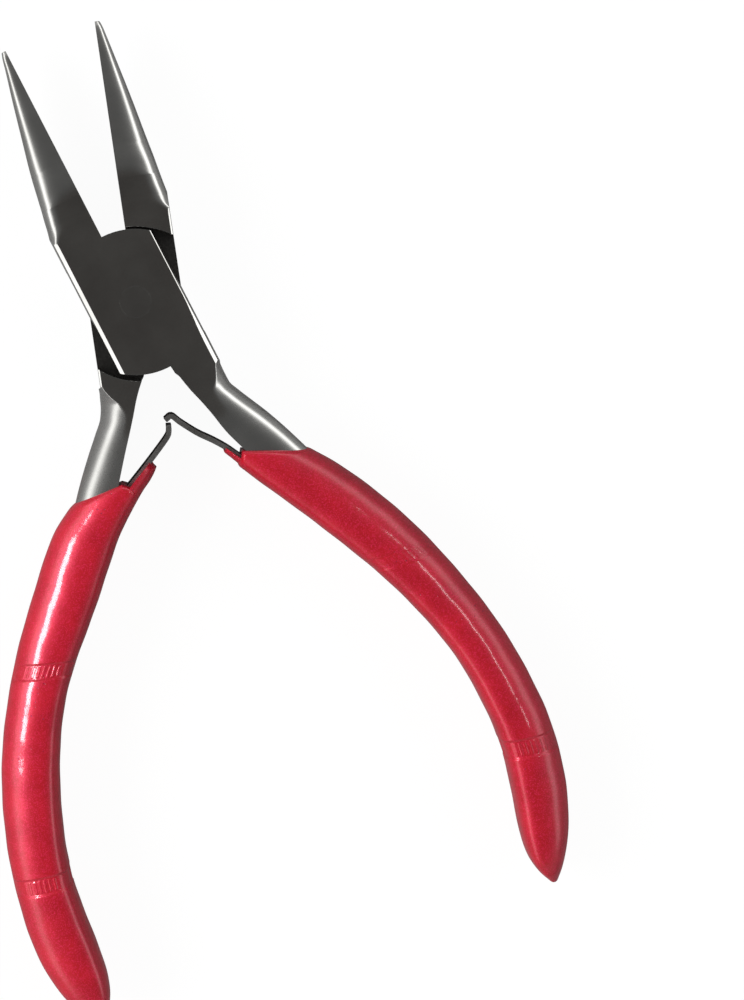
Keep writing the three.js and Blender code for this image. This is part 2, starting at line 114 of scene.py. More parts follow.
BOX_SPRING = [
    [8.0, -34.8], [6.1, -31.0], [4.35, -27.3], [3.6, -25.8], [2.93, -24.36],
    [2.72, -24.0], [1.85, -22.4], [0.7, -20.7], [-0.65, -18.95], [-2.0, -16.7],
    [-2.66, -15.4], [-3.5, -15.47],
]
TONGUE_SPRING = [
    [10.3, -34.8], [8.3, -31.0], [6.4, -27.0], [5.4, -25.3], [4.33, -23.83],
    [4.05, -23.55], [2.4, -22.0], [0.85, -20.5], [-0.55, -19.1], [-1.6, -17.95],
    [-1.85, -17.3], [-1.92, -16.6],
]
# Edge of the dipped coating across the neck, from the V at the spring outwards.
BOX_LIP = [[1.6, -25.3], [2.95, -24.3], [3.49, -23.58], [9.36, -26.46], [11.11, -26.9], [30.0, -31.0]]
TONGUE_LIP = [[2.6, -25.2], [4.2, -23.75], [5.23, -23.28], [11.67, -24.84], [14.0, -25.3], [30.0, -28.5]]
# Web of coating behind the blade: its free side, from the handle to the tip.
BOX_WEB = [[3.52, -28.15], [2.6, -25.9], [1.88, -24.15], [1.28, -22.85], [0.78, -21.72]]
TONGUE_WEB = [[5.35, -28.2], [3.75, -26.1], [2.5, -24.5], [1.4, -23.3], [0.55, -22.1], [-0.15, -20.6]]

STRIP = 0.7
STRIP_HALF = 2.5
GRIP_HALF = 4.2


# ------------------------------------------------------------ numeric helpers

def pchip(xs, ys):
    """Monotone cubic through the points, straight beyond both ends."""
    xs, ys = np.array(xs, float), np.array(ys, float)
    order = np.argsort(xs)
    xs, ys = xs[order], ys[order]
    h = np.diff(xs)
    d = np.diff(ys) / h
    m = np.zeros_like(xs)
    m[0], m[-1] = d[0], d[-1]
    for i in range(1, len(xs) - 1):
        if d[i - 1] * d[i] > 0:
            w1, w2 = 2 * h[i] + h[i - 1], h[i] + 2 * h[i - 1]
            m[i] = (w1 + w2) / (w1 / d[i - 1] + w2 / d[i])

    def f(x):
        x = np.asarray(x, float)
        i = np.clip(np.searchsorted(xs, x) - 1, 0, len(xs) - 2)
        t = (x - xs[i]) / h[i]
        tc = np.clip(t, 0, 1)
        t2, t3 = tc * tc, tc * tc * tc
        y = ((2 * t3 - 3 * t2 + 1) * ys[i] + (t3 - 2 * t2 + tc) * h[i] * m[i]
             + (3 * t2 - 2 * t3) * ys[i + 1] + (t3 - t2) * h[i] * m[i + 1])
        y = y + np.where(x < xs[0], (x - xs[0]) * m[0], 0) + np.where(x > xs[-1], (x - xs[-1]) * m[-1], 0)
        return y

    return f


def cut(a, b, r):
    """Intersection of two solids, with the edge between them rounded by r."""
    u, v = np.maximum(a + r, 0), np.maximum(b + r, 0)
    return np.minimum(np.maximum(a, b), -r) + np.sqrt(u * u + v * v)


def join(a, b, r):
    """Union of two solids, with the corner between them filleted by r."""
    return -cut(-a, -b, r)


def oval(u, z, w, h):
    """Distance to an ellipse, close enough near its outline."""
    p, q = u / w, z / h
    k1 = np.sqrt(p * p + q * q)
    k2 = np.sqrt((p / w) ** 2 + (q / h) ** 2) + 1e-9
    return k1 * (k1 - 1) / k2


def squircle(u, z, w, h, p):
    """Distance to an oval with a flatter top and a tighter corner: p 2 is an ellipse."""
    q, v = np.abs(u) / w + 1e-6, np.abs(z) / h + 1e-6
    f = (q ** p + v ** p) ** (1 / p)
    gu, gz = (q / f) ** (p - 1) / w, (v / f) ** (p - 1) / h
    return (f - 1) / np.sqrt(gu * gu + gz * gz)


def ease(a, b, k):
    """Intersection whose shallow creases are eased over a depth k."""
    h = np.maximum(k - np.abs(a - b), 0) / k
    return np.maximum(a, b) + h * h * k * 0.25


def smooth(a, b, x):
    t = np.clip((x - a) / (b - a), 0, 1)
    return t * t * (3 - 2 * t)


def polyline_y(points):
    xs = [p[0] for p in points]
    ys = [p[1] for p in points]
    return lambda x: np.interp(x, xs, ys)


def spline(points, step):
    """Even points on a Catmull-Rom curve through the given ones."""
    p = np.array(points, float)
    p = np.vstack([2 * p[0] - p[1], p, 2 * p[-1] - p[-2]])
    out = []
    for i in range(1, len(p) - 2):
        a, b, c, d = p[i - 1], p[i], p[i + 1], p[i + 2]
        n = max(2, int(np.linalg.norm(c - b) / step) + 1)
        for t in np.linspace(0, 1, n, endpoint=False):
            out.append(0.5 * ((2 * b) + (c - a) * t + (2 * a - 5 * b + 4 * c - d) * t * t
                              + (3 * b - a - 3 * c + d) * t ** 3))
    out.append(p[-2])
    return np.array(out)


def gradient(field, p, eps=0.012):
    g = np.zeros_like(p)
    for k in range(3):
        d = np.zeros(3)
        d[k] = eps
        g[:, k] = field(p + d) - field(p - d)
    return g / np.maximum(np.linalg.norm(g, axis=1), 1e-12)[:, None]


def skin(values, axes, field):
    """Surface of field < 0 over a box grid, one point per cell, kept sharp where faces meet.

    Returns points, quads, a normal per point and a normal per quad corner."""
    inside = values < 0
    shape = inside.shape
    core = np.zeros(tuple(n - 1 for n in shape), np.int8)
    for i in (0, 1):
        for j in (0, 1):
            for k in (0, 1):
                core += inside[i:shape[0] - 1 + i, j:shape[1] - 1 + j, k:shape[2] - 1 + k]
    index = np.full(core.shape, -1, np.int64)
    cells = np.stack(np.nonzero((core > 0) & (core < 8)), 1)
    m = len(cells)
    index[tuple(cells.T)] = np.arange(m)
    owner, hits, faces = [], [], []
    for axis in range(3):
        lo, hi = [slice(None)] * 3, [slice(None)] * 3
        lo[axis], hi[axis] = slice(0, -1), slice(1, None)
        g = np.stack(np.nonzero(inside[tuple(lo)] != inside[tuple(hi)]), 1)
        h = g.copy()
        h[:, axis] += 1
        f0, f1 = values[tuple(g.T)].astype(float), values[tuple(h.T)].astype(float)
        start = np.stack([axes[k][g[:, k]] for k in range(3)], 1).astype(float)
        span = axes[axis][h[:, axis]] - axes[axis][g[:, axis]]
        t0, t1 = np.zeros(len(g)), np.ones(len(g))
        t = f0 / (f0 - f1)
        p = start.copy()
        for _ in range(2):
            p[:, axis] = start[:, axis] + t * span
            f = field(p)
            low = (f < 0) == (f0 < 0)
            t0, f0 = np.where(low, t, t0), np.where(low, f, f0)
            t1, f1 = np.where(low, t1, t), np.where(low, f1, f)
            d = f0 - f1
            t = t0 + (t1 - t0) * np.where(np.abs(d) > 1e-12, f0 / np.where(np.abs(d) > 1e-12, d, 1), 0.5)
        p[:, axis] = start[:, axis] + t * span
        n = gradient(field, p)
        q, r = (axis + 1) % 3, (axis + 2) % 3
        for dq in (0, 1):
            for dr in (0, 1):
                c = g.copy()
                c[:, q] -= dq
                c[:, r] -= dr
                ok = (c[:, q] >= 0) & (c[:, r] >= 0) & (c[:, q] < shape[q] - 1) & (c[:, r] < shape[r] - 1)
                owner.append(index[tuple(c[ok].T)])
                hits.append(p[ok])
                faces.append(n[ok])
    owner, hits, faces = np.concatenate(owner), np.concatenate(hits), np.concatenate(faces)
    count = np.maximum(np.bincount(owner, minlength=m), 1)
    total = lambda w: np.bincount(owner, w, minlength=m)
    middle = np.stack([total(hits[:, k]) for k in range(3)], 1) / count[:, None]
    off = (faces * (hits - middle[owner])).sum(1)
    A = np.zeros((m, 3, 3))
    b = np.zeros((m, 3))
    for i in range(3):
        b[:, i] = total(faces[:, i] * off)
        for j in range(i, 3):
            A[:, i, j] = A[:, j, i] = total(faces[:, i] * faces[:, j])
        A[:, i, i] += 0.06
    points = middle + np.linalg.solve(A, b[..., None])[..., 0]
    for k in range(3):
        a, z = axes[k][cells[:, k]], axes[k][cells[:, k] + 1]
        points[:, k] = np.clip(points[:, k], a - 0.04 * (z - a), z + 0.04 * (z - a))
    spread = np.linalg.norm(np.stack([total(faces[:, k]) for k in range(3)], 1), axis=1) / count
    quads = []
    for axis in range(3):
        lo, hi = [slice(1, -1)] * 3, [slice(1, -1)] * 3
        lo[axis], hi[axis] = slice(0, -1), slice(1, None)
        a, z = inside[tuple(lo)], inside[tuple(hi)]
        found = np.stack(np.nonzero(a != z), 1)
        low_in = a[tuple(found.T)]
        cell = found.copy()
        for other in range(3):
            if other != axis:
                cell[:, other] += 1
        p, q = (axis + 1) % 3, (axis + 2) % 3
        ring = []
        for dp, dq in ((1, 1), (0, 1), (0, 0), (1, 0)):
            c = cell.copy()
            c[:, p] -= dp
            c[:, q] -= dq
            ring.append(index[tuple(c.T)])
        ring = np.stack(ring, 1)
        ring[~low_in] = ring[~low_in][:, ::-1]
        quads.append(ring)
    quads = np.vstack(quads)
    normals = gradient(field, points)
    corner = normals[quads]
    # beside a sharp edge each face keeps its own normal
    crease = (spread < 0.985)[quads]
    centre = points[quads].mean(1)
    rows, cols = np.nonzero(crease)
    at = points[quads[rows, cols]]
    corner[rows, cols] = gradient(field, at + 0.45 * (centre[rows] - at))
    return points, quads, normals, corner


def fill(values, todo, field):
    if not todo:
        return
    v = field(np.concatenate([g for _, g in todo]))
    at = 0
    for (i, j, k, a, b, c, _), g in todo:
        values[i:a, j:b, k:c] = v[at:at + len(g)].reshape(a - i, b - j, c - k)
        at += len(g)


def carve(field, box, steps):
    """Mesh of a field given as a function of an (n, 3) array of points."""
    (x0, y0, z0), (x1, y1, z1) = box
    xs = np.arange(x0, x1 + steps[0], steps[0])
    ys = np.arange(y0, y1 + steps[1], steps[1])
    zs = steps[2] if isinstance(steps[2], np.ndarray) else np.arange(z0, z1 + steps[2], steps[2])
    # blocks whose middle is far from the surface take one value
    n = 8
    shape = (len(xs), len(ys), len(zs))
    values = np.empty(shape, np.float32)
    cells = [range(0, m, n) for m in shape]
    mids, spans = [], []
    for i in cells[0]:
        for j in cells[1]:
            for k in cells[2]:
                e = (min(i + n, shape[0]), min(j + n, shape[1]), min(k + n, shape[2]))
                lo = np.array([xs[i], ys[j], zs[k]])
                hi = np.array([xs[e[0] - 1], ys[e[1] - 1], zs[e[2] - 1]])
                mids.append((lo + hi) / 2)
                spans.append((i, j, k, *e, float(np.linalg.norm(hi - lo)) / 2))
    found = field(np.array(mids))
    todo, count = [], 0
    for value, span in zip(found, spans):
        i, j, k, a, b, c, reach = span
        if abs(value) > 2.2 * reach + 0.4:
            values[i:a, j:b, k:c] = value
            continue
        g = np.stack(np.meshgrid(xs[i:a], ys[j:b], zs[k:c], indexing="ij"), -1).reshape(-1, 3)
        todo.append((span, g))
        count += len(g)
        if count > 400000:
            fill(values, todo, field)
            todo, count = [], 0
    fill(values, todo, field)
    points, quads, normals, corner = skin(values, (xs, ys, zs), field)
    used = np.unique(quads)
    renumber = np.full(len(points), -1, np.int64)
    renumber[used] = np.arange(len(used))
    return points[used], renumber[quads], normals[used], corner


# --------------------------------------------------------------- mesh helpers

def to_row(points, side, vector=False):
    """From a lever's closed frame in mm to the row frame in metres. side 1 is the box lever."""
    p = np.array(points, float).reshape(-1, 3)
    if side < 0:
        p = p * np.array([-1.0, 1.0, 1.0])
    a = OPEN * side
    c, s = math.cos(a), math.sin(a)
    q = np.stack([p[:, 0] * c - p[:, 1] * s, p[:, 0] * s + p[:, 1] * c, p[:, 2]], 1)
    if vector:
        return q
    return (q + np.array([0, 0, HALF])) * 0.001


def make(name, points, quads, normals, corner, side, material, extra=None):
    """A mesh object in the row frame from points in a lever's closed frame."""
    if side < 0:
        quads, corner = quads[:, ::-1], corner[:, ::-1]
    mesh = bpy.data.meshes.new(name)
    co = to_row(points, side)
    n = quads.shape[1]
    mesh.vertices.add(len(co))
    mesh.vertices.foreach_set("co", co.astype(np.float32).ravel())
    mesh.loops.add(quads.size)
    mesh.loops.foreach_set("vertex_index", quads.astype(np.int32).ravel())
    mesh.polygons.add(len(quads))
    mesh.polygons.foreach_set("loop_start", np.arange(0, quads.size, n, dtype=np.int32))
    mesh.update(calc_edges=True)
    mesh.validate()
    mesh.polygons.foreach_set("use_smooth", np.ones(len(mesh.polygons), bool))
    if len(mesh.loops) == quads.size:
        mesh.normals_split_custom_set(to_row(corner.reshape(-1, 3), side, True).astype(np.float32))
    else:
        mesh.normals_split_custom_set_from_vertices(to_row(normals, side, True).astype(np.float32))
    co_attr = mesh.attributes.new("lever_co", "FLOAT_VECTOR", "POINT")
    co_attr.data.foreach_set("vector", (np.array(points) * 0.1).astype(np.float32).ravel())
    for key, values in (extra or {}).items():
        a = mesh.attributes.new(key, "FLOAT", "POINT")
        a.data.foreach_set("value", np.asarray(values, np.float32))
    mesh.materials.append(material)
    o = bpy.data.objects.new(name, mesh)
    bpy.context.scene.collection.objects.link(o)
    return o


# -------------------------------------------------------------------- levers

def side_face(z):
    """Half width of the box at height z: slightly barrelled."""
    return 6.34 - 0.30 * (z / 3.95) ** 2


def lever_field(jaw, neck, is_box):
    jaw_w = pchip([r[0] for r in jaw], [r[1] for r in jaw])
    jaw_h = pchip([r[0] for r in jaw], [r[2] for r in jaw])
    tip = jaw[-1][0]
    boxy = lambda y: np.interp(y, [r[0] for r in JAW_POWER], [r[1] for r in JAW_POWER])
    ny = [r[1] for r in neck]
    xi = pchip(ny, [r[0] for r in neck])
    xo = pchip(ny, [r[2] for r in neck])
    nh = pchip(ny, [r[4] for r in neck])
    skew = pchip(ny, [r[3] - r[1] for r in neck])
    end = -12.3 if is_box else -10.6
    flat = 6.04 if is_box else 6.1
    power = 3.0 if is_box else 2.2

    def field(p):
        x, y, z = p[:, 0], p[:, 1], p[:, 2]
        az = np.abs(z)
        r = np.sqrt(x * x + y * y)
        if is_box:
            half = side_face(z)
            bevel = np.where(x < 0, 0.50, 0.17 + 0.30 * smooth(-2.0, -9.0, y))
        else:
            half = 6.22 - 0.12 * (z / 4.0) ** 2
            bevel = 0.20
        sides = np.abs(x) - half
        plate = np.maximum(np.maximum(r - CHEEK, sides), az - HALF)
        # jaw
        w, h = np.maximum(jaw_w(y), 0.2), np.maximum(jaw_h(y), 0.2)
        u = -x - FACE_GAP
        h = np.minimum(h, 4.5 + 0.4 * smooth(13.6, 11.0, y))
        j = squircle(u, z, w, h, boxy(y))
        j = ease(j, az - HALF, 0.22)
        j = np.maximum(j, -u)
        j = np.maximum(j, -x - half)
        j = cut(j, y - tip - 0.02, 0.06)
        j = np.maximum(j, 2.0 - y)
        # neck
        width = xo(y) - xi(y)
        t = np.clip((x - xi(y)) / width, -0.5, 1.5)
        yy = y - skew(y) * t
        a, b, hh = xi(yy), xo(yy), nh(yy)
        v = x - a
        k = squircle(v, z, b - a, np.maximum(hh, 0.5), power)
        k = ease(k, az - HALF, 0.10 if is_box else 0.06)
        k = np.maximum(k, -v)
        k = np.maximum(k, np.where(y > end, x - half, -5.0))
        k = np.maximum(k, y + 2.0)
        body = np.minimum(np.minimum(plate, j), k)
        edge = (np.abs(x) - flat) * 0.5225 + (az - HALF) * 0.8526 + bevel * 0.5225
        edge = np.where((x < 0) | (y > end), edge, -5.0)
        body = np.maximum(body, edge)
        if is_box:
            slot = np.maximum(r - SHOULDER, az - SLOT)
            body = np.maximum(body, -slot)
            body = np.maximum(body, RIVET - r)
        else:
            gap = np.minimum(r - SHOULDER, np.hypot(x + 0.45, y + 0.35) - 10.0)
            body = np.maximum(body, -np.maximum(gap, TONGUE - az))
            body = np.maximum(body, BORE - r)
        return body

    return field


def z_levels():
    top = np.arange(3.62, 4.62, 0.11)
    mid = np.arange(-3.45, 3.46, 0.23)
    return np.concatenate([-top[::-1], mid, top])


# --------------------------------------------------------------------- grips

class Handle:
    """Coordinates along (s), across (u) a coated handle, looked up on a fine XY grid."""

    def __init__(self, rows, x_range, y_range):
        rows = np.array(rows, float)
        first = rows[0] + (rows[0] - rows[1]) * 1.1
        first[4] = rows[0][4]
        last = rows[-1] + (rows[-1] - rows[-2]) * 0.5
        last[4] = 0.2
        rows = np.vstack([first, rows, last])
        n = len(rows)
        keys = np.arange(n, dtype=float) - 1
        keys[0] = -1.1
        keys[-1] = n - 3 + 0.5
        self.s = np.linspace(keys[0], keys[-1], 1500)
        cols = [pchip(keys, rows[:, i]) for i in range(5)]
        smooth_cols = []
        for i in range(4):
            v = cols[i](self.s)
            # light smoothing keeps the curve's second derivative even
            k = np.hanning(121)
            k /= k.sum()
            pad = np.concatenate([2 * v[0] - v[60:0:-1], v, 2 * v[-1] - v[-2:-62:-1]])
            smooth_cols.append(np.convolve(pad, k, "valid"))
        self.inner = np.stack(smooth_cols[:2], 1)
        self.outer = np.stack(smooth_cols[2:], 1)
        self.share = cols[4](self.s)
        self.width = np.linalg.norm(self.outer - self.inner, axis=1)
        self.dir = (self.outer - self.inner) / self.width[:, None]
        mid = (self.inner + self.outer) / 2
        self.length = np.concatenate([[0], np.cumsum(np.linalg.norm(np.diff(mid, axis=0), axis=1))])
        self.x = np.arange(x_range[0], x_range[1], 0.2)
        self.y = np.arange(y_range[0], y_range[1], 0.2)
        gx, gy = np.meshgrid(self.x, self.y, indexing="ij")
        p = np.stack([gx.ravel(), gy.ravel()], 1)
        best = np.zeros(len(p))
        for i in range(0, len(p), 4000):
            q = p[i:i + 4000]
            d = q[:, None, :] - self.inner[None]
            across = self.dir[None, :, 0] * d[..., 1] - self.dir[None, :, 1] * d[..., 0]
            near = np.abs(across) + 0.02 * np.abs((d * self.dir[None]).sum(-1) - self.width[None] / 2)
            k = near.argmin(1)
            k = np.clip(k, 1, len(self.s) - 2)
            rows_i = np.arange(len(q))
            a0, a1, a2 = across[rows_i, k - 1], across[rows_i, k], across[rows_i, k + 1]
            slope = (a2 - a0) / 2
            best[i:i + 4000] = k - a1 / np.where(np.abs(slope) < 1e-6, 1e-6, slope)
        best = np.clip(best, -40, len(self.s) + 40)
        self.k = best.reshape(gx.shape)
        mids = mid[::12]
        away = np.full(len(p), 99.0)
        for i in range(0, len(p), 8000):
            d = p[i:i + 8000, None, :] - mids[None]
            away[i:i + 8000] = np.sqrt((d * d).sum(-1).min(1))
        self.away = away.reshape(gx.shape) - 6.6

    def at(self, x, y):
        fx = np.clip((x - self.x[0]) / 0.2, 0, len(self.x) - 1.001)
        fy = np.clip((y - self.y[0]) / 0.2, 0, len(self.y) - 1.001)
        i, j = fx.astype(int), fy.astype(int)
        a, b = fx - i, fy - j
        k = (self.k[i, j] * (1 - a) * (1 - b) + self.k[i + 1, j] * a * (1 - b)
             + self.k[i, j + 1] * (1 - a) * b + self.k[i + 1, j + 1] * a * b)
        kk = np.clip(k, 0, len(self.s) - 1)
        away = self.away[i, j]
        idx = np.arange(len(self.s))
        ix, iy = np.interp(kk, idx, self.inner[:, 0]), np.interp(kk, idx, self.inner[:, 1])
        dx, dy = np.interp(kk, idx, self.dir[:, 0]), np.interp(kk, idx, self.dir[:, 1])
        u = (x - ix) * dx + (y - iy) * dy
        length = np.interp(kk, idx, self.length) + (k - kk) * (self.length[1] - self.length[0])
        return {"s": np.interp(kk, idx, self.s), "u": u, "w": np.interp(kk, idx, self.width),
                "share": np.interp(kk, idx, self.share), "l": length, "away": away}

    def length_at(self, s):
        return float(np.interp(s, self.s, self.length))


def section(u, z, w, h):
    """Distance to the soft oval of a coated handle."""
    crown = 0.36 * w
    inner = u < crown
    a = np.where(inner, crown, w - crown)
    p = np.where(inner, 3.0, 2.1)
    q = np.abs(u - crown) / a + 1e-6
    v = np.abs(z) / h + 1e-6
    f = (q ** p + v ** p) ** (1 / p)
    gu = (q / f) ** (p - 1) / a
    gz = (v / f) ** (p - 1) / h
    return (f - 1) / np.sqrt(gu * gu + gz * gz)


def grip_field(handle, lip, web, blade, bands):
    lip_y = polyline_y(lip)
    line = spline(blade, 0.15)
    keep = line[(line[:, 1] > -27.5) & (line[:, 1] < -19.6)]
    # the web's free side and the blade's centre line, as x over y
    web_x = pchip([p[1] for p in web], [p[0] for p in web])
    order = np.argsort(keep[:, 1])
    blade_x = lambda y: np.interp(y, keep[order, 1], keep[order, 0])
    web_top = web[-1][1]
    spots = [(handle.length_at(s), length, deep) for s, length, deep in bands]

    def field(p):
        x, y, z = p[:, 0], p[:, 1], p[:, 2]
        c = handle.at(x, y)
        h = GRIP_HALF * np.maximum(c["share"], 0.05)
        w = np.maximum(c["w"], 0.2)
        d = section(c["u"], z, w, h)
        d = cut(d, c["l"] - handle.length[-1], 0.25)
        d = np.maximum(d, c["away"])
        # mouth of the coating
        d = cut(d, (y - lip_y(x)) * 0.92, 0.75)
        # web behind the blade, thinning to nothing along it
        bx = blade_x(y) - 0.08
        thin = np.clip((y - web_top + 1.2) / 1.2, 0, 1)
        wx = web_x(y) * (1 - thin) + (bx - 0.02) * thin
        q = section((x - wx) * 0.86, z, 8.4, GRIP_HALF * 0.97)
        q = np.maximum(q, (x - bx) * 0.86)
        q = np.maximum(q, y - web_top)
        q = cut(q, -28.4 - y, 0.5)
        d = np.minimum(d, q)
        # moulded bands: shallow troughs
        for at, length, deep in spots:
            half = length / 2
            inside = smooth(half + 0.2, half - 0.2, np.abs(c["l"] - at))
            d = d + 0.13 * deep * inside * smooth(0.2, 1.2, np.abs(z))
        # the coating is not perfectly even
        d = d + 0.035 * np.sin(c["l"] * 0.83 + 0.6 * c["u"]) * np.sin(0.37 * c["l"] + 1.1)
        return d

    def marks(p):
        """Distances along and across the handle, for the ribs in the bands."""
        c = handle.at(p[:, 0], p[:, 1])
        along, deep = np.full(len(p), 9.0), np.zeros(len(p))
        for at, length, d in spots:
            l = np.abs(c["l"] - at) / (length / 2)
            near = l < along
            along, deep = np.where(near, l, along), np.where(near, d, deep)
        return {"along": np.minimum(along, 4), "deep": deep, "across": np.clip(c["u"] / np.maximum(c["w"], 0.2), -1, 2),
                "arc": np.clip(c["u"], -3, 14)}

    return field, marks


# -------------------------------------------------------------------- springs

def strip_mesh(line, thickness, half, corner=0.1):
    """Flat strip swept along a centre line, corners rounded: points, quads, normals."""
    t = np.gradient(line, axis=0)
    t /= np.linalg.norm(t, axis=1)[:, None]
    n = np.stack([-t[:, 1], t[:, 0]], 1)
    ring, normal = [], []
    a = thickness / 2
    for sx, sz, start in ((1, 1, 0), (-1, 1, 90), (-1, -1, 180), (1, -1, 270)):
        for k in range(5):
            ang = math.radians(start + 22.5 * k)
            ring.append((sx * (a - corner) + corner * math.cos(ang), sz * (half - corner) + corner * math.sin(ang)))
            normal.append((math.cos(ang), math.sin(ang)))
    # extra rows across the wide faces
    full_ring, full_normal = [], []
    for i in range(len(ring)):
        full_ring.append(ring[i])
        full_normal.append(normal[i])
        nxt = (i + 1) % len(ring)
        gap = math.dist(ring[i], ring[nxt])
        if gap > 1.0:
            for k in range(1, 10):
                f = k / 10
                full_ring.append((ring[i][0] * (1 - f) + ring[nxt][0] * f, ring[i][1] * (1 - f) + ring[nxt][1] * f))
                full_normal.append(normal[i])
    ring, normal = np.array(full_ring), np.array(full_normal)
    m = len(ring)
    pts, nrm = [], []
    scale = np.ones(len(line))
    for i in range(len(line)):
        off = ring[:, 0]
        p = np.stack([line[i, 0] + n[i, 0] * off, line[i, 1] + n[i, 1] * off, ring[:, 1]], 1)
        q = np.stack([n[i, 0] * normal[:, 0], n[i, 1] * normal[:, 0], normal[:, 1]], 1)
        pts.append(p)
        nrm.append(q)
    pts, nrm = np.concatenate(pts), np.concatenate(nrm)
    quads = []
    for i in range(len(line) - 1):
        for k in range(m):
            a0, a1 = i * m + k, i * m + (k + 1) % m
            quads.append((a0, a0 + m, a1 + m, a1))
    quads = np.array(quads)
    # closed ends: small inset rings
    count = len(pts)
    for i, step in ((0, -1), (len(line) - 1, 1)):
        base = i * m
        prev = np.arange(base, base + m)
        for inset, push, tilt in ((0.05, 0.045, 0.7), (0.12, 0.06, 1.0)):
            shrink = np.sign(ring) * np.minimum(np.abs(ring), inset)
            r2 = ring - shrink
            p = np.stack([line[i, 0] + n[i, 0] * r2[:, 0] + step * t[i, 0] * push,
                          line[i, 1] + n[i, 1] * r2[:, 0] + step * t[i, 1] * push, r2[:, 1]], 1)
            q = np.tile(np.array([step * t[i, 0], step * t[i, 1], 0.0]), (m, 1))
            pts = np.vstack([pts, p])
            nrm = np.vstack([nrm, q])
            new = np.arange(count, count + m)
            count += m
            for k in range(m):
                a, b = k, (k + 1) % m
                face = (prev[a], new[a], new[b], prev[b])
                quads = np.vstack([quads, [face if step > 0 else face[::-1]]])
            prev = new
        centre = np.array([[line[i, 0] + step * t[i, 0] * 0.06, line[i, 1] + step * t[i, 1] * 0.06, 0.0]])
        pts = np.vstack([pts, centre])
        nrm = np.vstack([nrm, [[step * t[i, 0], step * t[i, 1], 0.0]]])
        for k in range(0, m, 1):
            a, b = k, (k + 1) % m
            face = (prev[a], count, count, prev[b])
            tri = [prev[a], count, prev[b]]
            if step < 0:
                tri = tri[::-1]
            quads = np.vstack([quads, [[tri[0], tri[1], tri[2], tri[2]]]])
        count += 1
    return pts, quads[:, ::-1], nrm


def make_mixed(name, points, quads, normals, side, material):
    """Like make(), for quads of which some are triangles written with a doubled corner."""
    if side < 0:
        quads = quads[:, ::-1]
    faces = []
    for q in quads.tolist():
        f = [q[0]]
        for v in q[1:]:
            if v not in f:
                f.append(v)
        faces.append(f)
    mesh = bpy.data.meshes.new(name)
    mesh.from_pydata([tuple(v) for v in to_row(points, side)], [], faces)
    mesh.validate()
    mesh.polygons.foreach_set("use_smooth", np.ones(len(mesh.polygons), bool))
    mesh.normals_split_custom_set_from_vertices(to_row(normals, side, True).astype(np.float32))
    a = mesh.attributes.new("lever_co", "FLOAT_VECTOR", "POINT")
    a.data.foreach_set("vector", (np.array(points) * 0.1).astype(np.float32).ravel())
    mesh.materials.append(material)
    o = bpy.data.objects.new(name, mesh)
    bpy.context.scene.collection.objects.link(o)
    return o


# ------------------------------------------------------------------ materials

class Nodes:
    def __init__(self, name):
        self.material = bpy.data.materials.new(name)
        self.material.use_nodes = True
        self.tree = self.material.node_tree
        self.bsdf = self.tree.nodes["Principled BSDF"] if "Principled BSDF" in self.tree.nodes else None
        if self.bsdf is None:
            self.tree.nodes.clear()
            self.bsdf = self.tree.nodes.new("ShaderNodeBsdfPrincipled")
            out = self.tree.nodes.new("ShaderNodeOutputMaterial")
            self.tree.links.new(self.bsdf.outputs[0], out.inputs[0])

    def new(self, kind, **settings):
        n = self.tree.nodes.new(kind)
        for k, v in settings.items():
            setattr(n, k, v)
        return n

    def put(self, socket, value):
        if isinstance(value, bpy.types.NodeSocket):
            self.tree.links.new(value, socket)
        else:
            socket.default_value = value

    def attribute(self, name, output="Vector"):
        return self.new("ShaderNodeAttribute", attribute_name=name).outputs[output]

    def scaled(self, vector, scale, location=(0, 0, 0)):
        m = self.new("ShaderNodeMapping")
        self.put(m.inputs["Vector"], vector)
        m.inputs["Scale"].default_value = scale
        m.inputs["Location"].default_value = location
        return m.outputs[0]

    def noise(self, vector, scale, detail=3.0, rough=0.5):
        n = self.new("ShaderNodeTexNoise")
        self.put(n.inputs["Vector"], vector)
        n.inputs["Scale"].default_value = scale
        n.inputs["Detail"].default_value = detail
        n.inputs["Roughness"].default_value = rough
        return n.outputs[0]

    def voronoi(self, vector, scale, feature="F1"):
        n = self.new("ShaderNodeTexVoronoi", feature=feature)
        self.put(n.inputs["Vector"], vector)
        n.inputs["Scale"].default_value = scale
        return n

    def math(self, op, a, b=0.0, clamp=False):
        n = self.new("ShaderNodeMath", operation=op, use_clamp=clamp)
        self.put(n.inputs[0], a)
        self.put(n.inputs[1], b)
        return n.outputs[0]

    def remap(self, value, a, b, c, d):
        n = self.new("ShaderNodeMapRange")
        n.clamp = True
        self.put(n.inputs["Value"], value)
        n.inputs["From Min"].default_value = a
        n.inputs["From Max"].default_value = b
        n.inputs["To Min"].default_value = c
        n.inputs["To Max"].default_value = d
        return n.outputs[0]

    def mix(self, factor, a, b):
        n = self.new("ShaderNodeMix", data_type="RGBA")
        self.put(n.inputs["Factor"], factor)
        for socket, v in ((n.inputs[6], a), (n.inputs[7], b)):
            if isinstance(v, tuple) and len(v) == 3:
                v = (*v, 1.0)
            self.put(socket, v)
        return n.outputs[2]

    def bump(self, height, strength, distance, normal=None):
        n = self.new("ShaderNodeBump")
        n.inputs["Strength"].default_value = strength
        n.inputs["Distance"].default_value = distance
        self.put(n.inputs["Height"], height)
        if normal is not None:
            self.put(n.inputs["Normal"], normal)
        return n.outputs[0]


